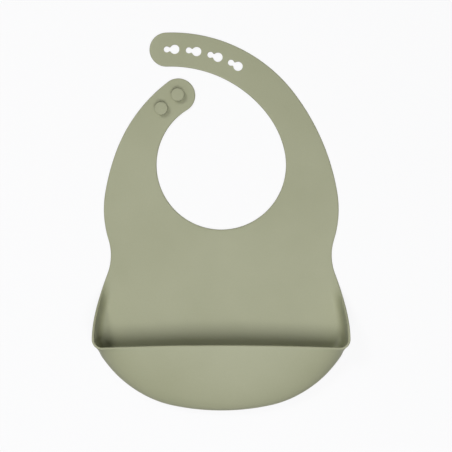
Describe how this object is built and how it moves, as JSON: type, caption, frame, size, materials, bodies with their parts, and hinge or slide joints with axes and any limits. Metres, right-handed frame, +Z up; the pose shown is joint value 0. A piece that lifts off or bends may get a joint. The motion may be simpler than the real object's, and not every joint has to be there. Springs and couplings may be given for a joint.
{
  "type": "silicone bib",
  "caption": "Moulded silicone baby's bib: chest panel with round neck opening, keyhole strap, stud strap and an open scoop pocket across the bottom.",
  "frame": {"origin": "middle of the footprint, on the surface that the bib lies on, with its back down", "axes": "+Y towards the neckband, along the bib's length; +Z up, out of the bib's front; +X to the right as seen from the front, on the side of the keyhole strap's root"},
  "size_m": [0.2184, 0.3272, 0.0301],
  "materials": {
    "sage_silicone": "matt sage green food-grade silicone, fine moulded texture",
    "pocket_silicone": "matt sage green food-grade silicone, the same moulding, on the pocket's curved walls"
  },
  "bodies": {
    "pocket": {"lower_panel": "sage_silicone", "pocket_side_left": "pocket_silicone", "pocket_side_right": "pocket_silicone", "pocket_base_turn": "pocket_silicone", "pocket_front_wall": "pocket_silicone"},
    "rim": {"pocket_rim": "pocket_silicone"},
    "chest": {"chest_panel": "sage_silicone"},
    "keyhole_root": {"keyhole_strap_root": "sage_silicone"},
    "keyhole_middle": {"keyhole_strap_middle": "sage_silicone"},
    "keyhole_end": {"keyhole_strap_end": "sage_silicone"},
    "stud_root": {"stud_strap_root": "sage_silicone"},
    "stud_end": {"stud_strap_end": "sage_silicone", "stud_inner": "sage_silicone", "stud_outer": "sage_silicone"}
  },
  "joints": [
    {"name": "panel_fold", "type": "hinge", "parent": "pocket", "child": "chest", "pos_m": [0, -0.0293, 0.002], "axis": [-1, 0, 0], "range_deg": [-140, 0], "stiffness_Nm_per_rad": 0.0053},
    {"name": "pocket_press", "type": "slide", "parent": "pocket", "child": "rim", "axis": [0, 0, -1], "range_m": [0, 0.018], "stiffness_N_per_m": 60, "deforming": ["pocket_side_left", "pocket_side_right", "pocket_front_wall"]},
    {"name": "keyhole_strap_shoulder", "type": "hinge", "parent": "chest", "child": "keyhole_root", "pos_m": [0.076, 0.0487, 0.002], "axis": [1, 0, 0], "range_deg": [0, 60], "stiffness_Nm_per_rad": 0.0009},
    {"name": "keyhole_strap_side", "type": "hinge", "parent": "keyhole_root", "child": "keyhole_middle", "pos_m": [0.06, 0.0967, 0.002], "axis": [0.829, 0.5592, 0], "range_deg": [0, 60], "stiffness_Nm_per_rad": 0.0009},
    {"name": "keyhole_strap_nape", "type": "hinge", "parent": "keyhole_middle", "child": "keyhole_end", "pos_m": [0.0305, 0.1237, 0.002], "axis": [0.6157, 0.788, 0], "range_deg": [0, 60], "stiffness_Nm_per_rad": 0.0009},
    {"name": "stud_strap_shoulder", "type": "hinge", "parent": "chest", "child": "stud_root", "pos_m": [-0.076, 0.0487, 0.002], "axis": [1, 0, 0], "range_deg": [0, 60], "stiffness_Nm_per_rad": 0.0009},
    {"name": "stud_strap_nape", "type": "hinge", "parent": "stud_root", "child": "stud_end", "pos_m": [-0.0665, 0.0769, 0.002], "axis": [0.9205, -0.3907, 0], "range_deg": [0, 60], "stiffness_Nm_per_rad": 0.0009}
  ]
}
